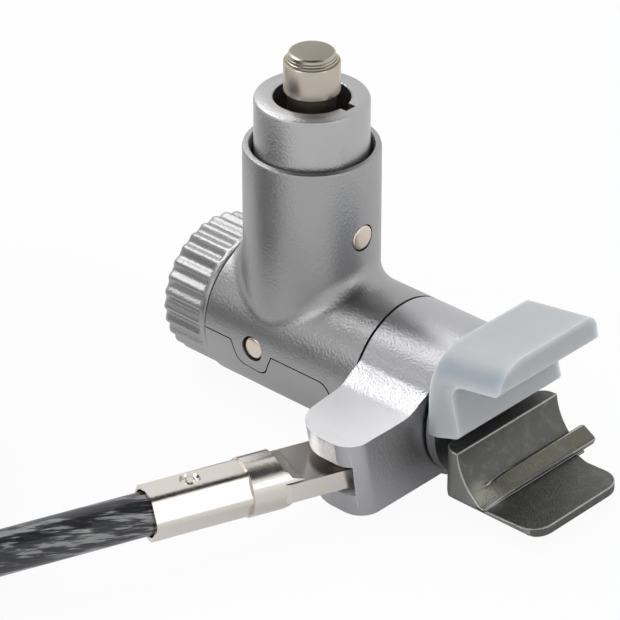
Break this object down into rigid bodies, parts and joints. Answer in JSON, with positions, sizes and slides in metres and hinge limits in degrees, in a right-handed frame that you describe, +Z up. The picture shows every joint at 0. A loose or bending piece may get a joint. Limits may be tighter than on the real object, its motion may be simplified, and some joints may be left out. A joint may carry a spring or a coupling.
{
  "type": "laptop cable lock",
  "caption": "Laptop cable lock: barrel with a thumb knob that closes a hooked clamp, push-in key cylinder on top, swivel collar with a lug, and a steel cable ending in a loop.",
  "frame": {"origin": "middle of the lock head's bounding box seen from above, on the surface the barrel lies on", "axes": "+X along the barrel from the thumb knob to the clamp jaws, +Y away from the cable lug, +Z up the key tube"},
  "size_m": [0.1047, 0.105, 0.0394],
  "materials": {
    "cast_silver": "zinc casting, bead blasted and satin nickel plated, fine silver grain",
    "knob_silver": "turned and bead blasted, satin silver",
    "dark_jaw": "gunmetal plating with lighter worn edges",
    "nickel": "polished nickel plate, slightly warm",
    "steel": "plain hardened steel, as turned",
    "bronze": "plain bearing bronze",
    "black_stem": "steel, black oxide",
    "milky_silicone": "translucent milky silicone",
    "black_rubber": "matt black rubber",
    "cable_plastic": "clear smoked PVC over dark steel strand",
    "strap": "black hook-and-loop strap"
  },
  "bodies": {
    "cable": {"cable_end_fitting": "nickel", "cable_lead": "cable_plastic", "cable_coil": "cable_plastic", "coil_tie_a": "strap", "coil_tie_b": "strap", "cable_loop": "cable_plastic", "loop_sleeve": "steel"},
    "collar": {"swivel_collar": "cast_silver", "lug_pin": "nickel"},
    "head": {"body_housing": "cast_silver", "barrel_cover": "cast_silver", "shaft_retaining_pin": "nickel", "cylinder_retaining_pin": "nickel", "screw_bush": "bronze", "friction_ring": "black_rubber", "upper_jaw": "cast_silver", "jaw_boot": "milky_silicone", "jaw_dowel_near": "steel", "jaw_dowel_far": "steel"},
    "knob": {"thumb_knob": "knob_silver", "knob_cap": "knob_silver", "knob_screw": "steel", "drive_screw": "steel", "thrust_washer": "bronze", "locking_wheel": "steel", "screw_clip": "steel"},
    "clamp": {"clamp_jaw": "dark_jaw", "jaw_stem": "black_stem", "stem_dowel": "steel"},
    "lock_cylinder": {"cylinder_sleeve": "cast_silver", "bolt_carrier": "steel", "lock_bolt": "steel", "return_spring": "steel"},
    "plug": {"key_plug": "nickel"}
  },
  "joints": [
    {"name": "lug_swivel", "type": "hinge", "parent": "cable", "child": "collar", "pos_m": [0.00595, -0.00988, 0.0056], "axis": [0, 0, 1], "range_deg": [-30, 50]},
    {"name": "collar_spin", "type": "hinge", "parent": "collar", "child": "head", "pos_m": [0.00595, 0.00432, 0.0078], "axis": [1, 0, 0], "range_deg": [-210, 60]},
    {"name": "knob_turn", "type": "hinge", "parent": "head", "child": "knob", "pos_m": [-0.01127, 0.00432, 0.0078], "axis": [1, 0, 0], "range_deg": [-1800, 360]},
    {"name": "jaw_slide", "type": "slide", "parent": "head", "child": "clamp", "axis": [1, 0, 0], "range_m": [-0.0008, 0.004]},
    {"name": "cylinder_press", "type": "slide", "parent": "head", "child": "lock_cylinder", "axis": [0, 0, -1], "range_m": [0, 0.0028], "stiffness_N_per_m": 250, "springref_m": -0.004, "deforming": ["return_spring"]},
    {"name": "key_turn", "type": "hinge", "parent": "lock_cylinder", "child": "plug", "pos_m": [-0.01127, 0.00432, 0.0278], "axis": [0, 0, 1], "range_deg": [0, 90]}
  ],
  "couplings": [
    {"joint": "jaw_slide", "follows": "knob_turn", "m_per_rad": -0.00012732}
  ]
}
